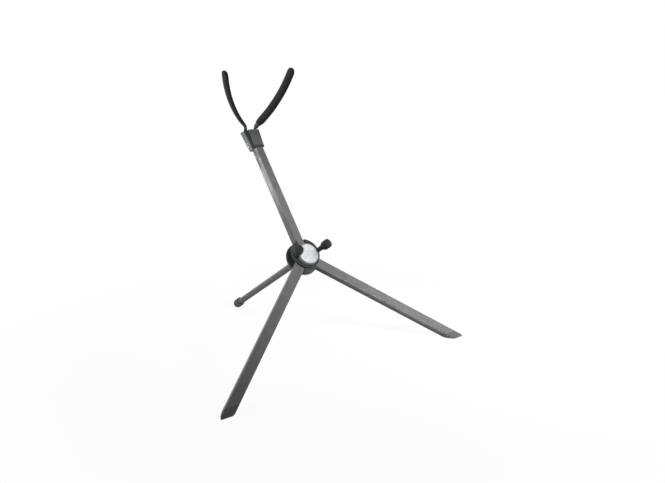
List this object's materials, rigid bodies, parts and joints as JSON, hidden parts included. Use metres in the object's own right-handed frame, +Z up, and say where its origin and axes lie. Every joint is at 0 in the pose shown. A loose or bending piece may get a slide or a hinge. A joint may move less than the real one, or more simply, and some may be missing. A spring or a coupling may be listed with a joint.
{
  "type": "alto saxophone stand",
  "caption": "Folding floor or table stand for an alto saxophone: spread flat legs, a leaning square arm, a padded fork for the bell and padded pegs for the key guard.",
  "frame": {"origin": "on the floor, under the middle of the box round the open stand", "axes": "+Z up; +X to the right seen from the front, where the flat legs spread; +Y to the back, where the round leg stands"},
  "size_m": [0.4268, 0.3238, 0.3997],
  "materials": {
    "anodised_tube": "dark grey satin anodised aluminium tube",
    "black_nylon": "black moulded glass-filled nylon",
    "grey_nylon": "dark grey moulded nylon",
    "bright_disc": "satin bright aluminium disc, bare",
    "rubber": "black moulded rubber",
    "soft_sleeve": "black soft sleeve over the fork",
    "inner_nylon": "black moulded nylon",
    "bracket_steel": "black powder-coated steel",
    "fork_steel": "black-coated steel strip",
    "fastener_steel": "zinc-plated steel"
  },
  "bodies": {
    "hub_and_arm": {"arm_lower_plug": "inner_nylon", "arm_tube": "anodised_tube", "arm_upper_plug": "inner_nylon", "badge_disc": "bright_disc", "bracket_screw_1": "fastener_steel", "bracket_screw_2": "fastener_steel", "bracket_screw_3": "fastener_steel", "bracket_screw_4": "fastener_steel", "centre_bolt": "fastener_steel", "centre_nut": "fastener_steel", "head_face_plate": "grey_nylon", "head_front_shell": "black_nylon", "head_rear_shell": "grey_nylon", "head_screw_1": "fastener_steel", "head_screw_2": "fastener_steel", "hub_back_plate": "black_nylon", "hub_cap": "grey_nylon", "hub_front_plate": "black_nylon", "left_leg_pin": "fastener_steel", "left_leg_washer": "fastener_steel", "left_peg_rubber": "rubber", "left_peg_stud": "fastener_steel", "leg_stop_web": "grey_nylon", "rear_bracket": "bracket_steel", "rear_hinge_pin": "fastener_steel", "right_leg_pin": "fastener_steel", "right_leg_washer": "fastener_steel", "right_peg_rubber": "rubber", "right_peg_stud": "fastener_steel"},
    "left_leg": {"left_leg_foot": "rubber", "left_leg_knuckle": "inner_nylon", "left_leg_tube": "anodised_tube"},
    "right_leg": {"right_leg_foot": "rubber", "right_leg_knuckle": "inner_nylon", "right_leg_tube": "anodised_tube"},
    "rear_leg": {"rear_leg_eye": "inner_nylon", "rear_leg_foot": "rubber", "rear_leg_tube": "anodised_tube"},
    "left_fork": {"left_fork_arm": "fork_steel", "left_fork_screw": "fastener_steel", "left_fork_sleeve": "soft_sleeve"},
    "right_fork": {"right_fork_arm": "fork_steel", "right_fork_screw": "fastener_steel", "right_fork_sleeve": "soft_sleeve"}
  },
  "joints": [
    {"name": "left_leg_fold", "type": "hinge", "parent": "hub_and_arm", "child": "left_leg", "pos_m": [-0.0115, -0.0446, 0.1333], "axis": [0, 0.766, -0.6428], "range_deg": [0, 130]},
    {"name": "right_leg_fold", "type": "hinge", "parent": "hub_and_arm", "child": "right_leg", "pos_m": [0.0115, -0.0446, 0.1333], "axis": [0, -0.766, 0.6428], "range_deg": [0, 130]},
    {"name": "rear_leg_fold", "type": "hinge", "parent": "hub_and_arm", "child": "rear_leg", "pos_m": [0, -0.02491, 0.12751], "axis": [1, 0, 0], "range_deg": [0, 83]},
    {"name": "left_fork_swivel", "type": "hinge", "parent": "hub_and_arm", "child": "left_fork", "pos_m": [-0.0087, 0.09814, 0.30792], "axis": [0, 0.3223, -0.9466], "range_deg": [0, 90]},
    {"name": "right_fork_swivel", "type": "hinge", "parent": "hub_and_arm", "child": "right_fork", "pos_m": [0.0087, 0.09814, 0.30792], "axis": [0, -0.3223, 0.9466], "range_deg": [0, 90]}
  ]
}
